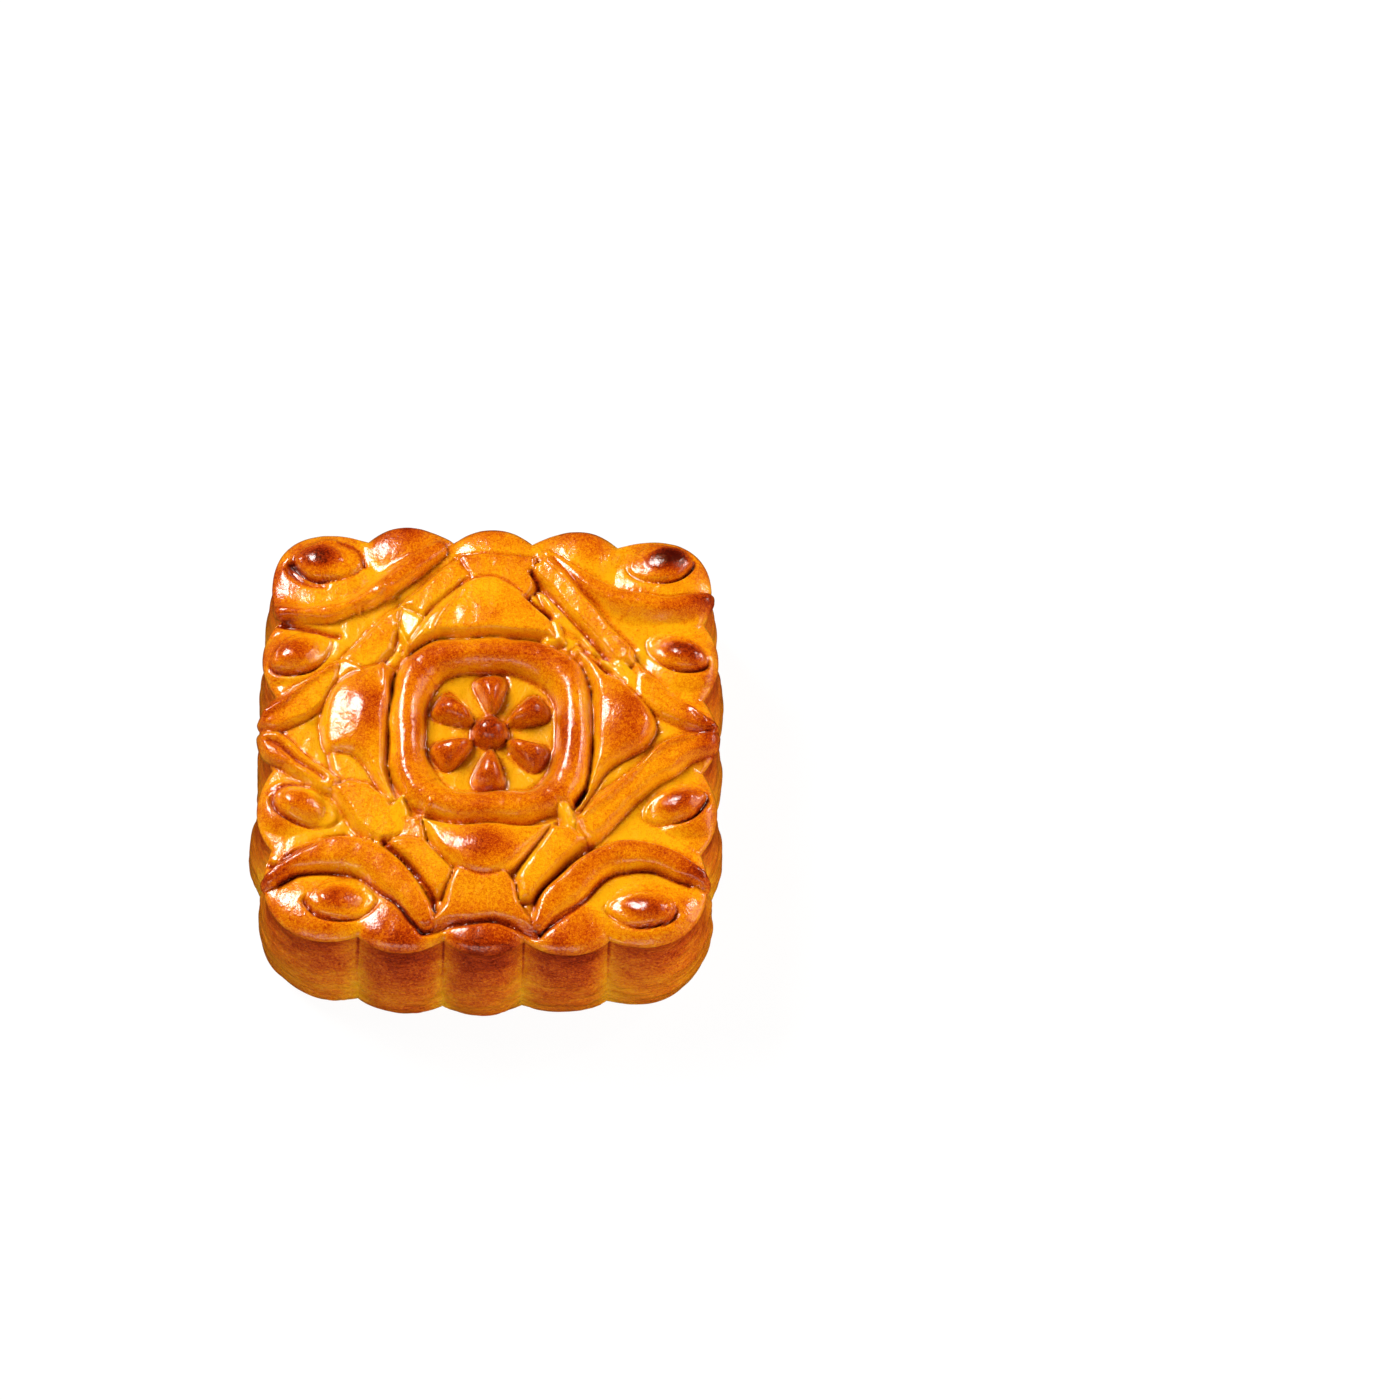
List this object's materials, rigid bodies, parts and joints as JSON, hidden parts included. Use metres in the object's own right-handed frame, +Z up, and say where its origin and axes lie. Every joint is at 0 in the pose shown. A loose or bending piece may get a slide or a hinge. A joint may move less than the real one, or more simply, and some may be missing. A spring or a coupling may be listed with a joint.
{
  "type": "mooncake",
  "caption": "Square fluted mooncake in glazed brown crust, with a moulded rosette, lobes, frame strips and corner buds in relief on its top.",
  "frame": {"origin": "middle of the flat underside", "axes": "+Z up from the table to the moulded top, -Y towards the front of the pattern, X across it"},
  "size_m": [0.0747, 0.075, 0.0306],
  "materials": {
    "baked_crust": "glossy egg-washed baked pastry, orange brown on the crests and amber in the recesses"
  },
  "bodies": {
    "root": {"mooncake": "baked_crust"}
  },
  "joints": []
}
